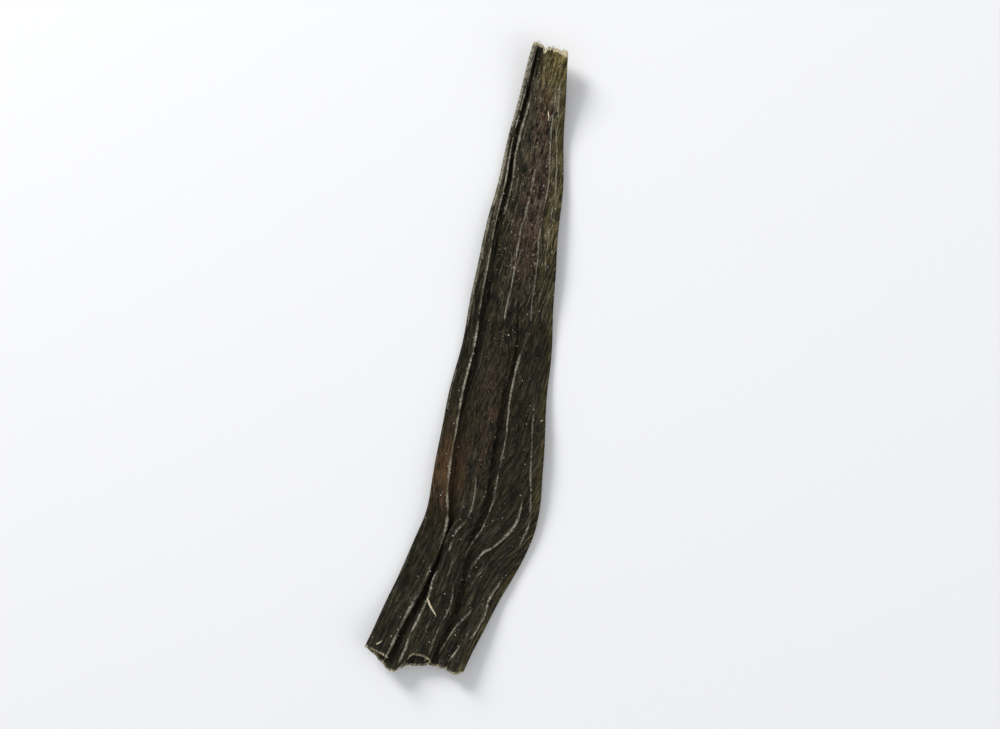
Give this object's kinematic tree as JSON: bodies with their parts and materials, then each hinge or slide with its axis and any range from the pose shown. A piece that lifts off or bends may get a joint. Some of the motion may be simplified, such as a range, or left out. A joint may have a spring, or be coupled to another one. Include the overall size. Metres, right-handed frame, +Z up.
{
  "type": "kelp frond",
  "caption": "Dried kelp frond, a leathery blade folded lengthwise, with a narrow cut stem end and a wider pleated cut end; lies flat.",
  "frame": {"origin": "middle of the frond's box, on the surface it lies on", "axes": "+Y along the frond towards its narrow stem end, +X across it, +Z up"},
  "size_m": [0.0412, 0.1872, 0.0079],
  "materials": {
    "kelp": "dry, leathery, half matt, dark olive with paler fold edges and a golden stem end"
  },
  "bodies": {
    "root": {"kelp_frond": "kelp"}
  },
  "joints": []
}
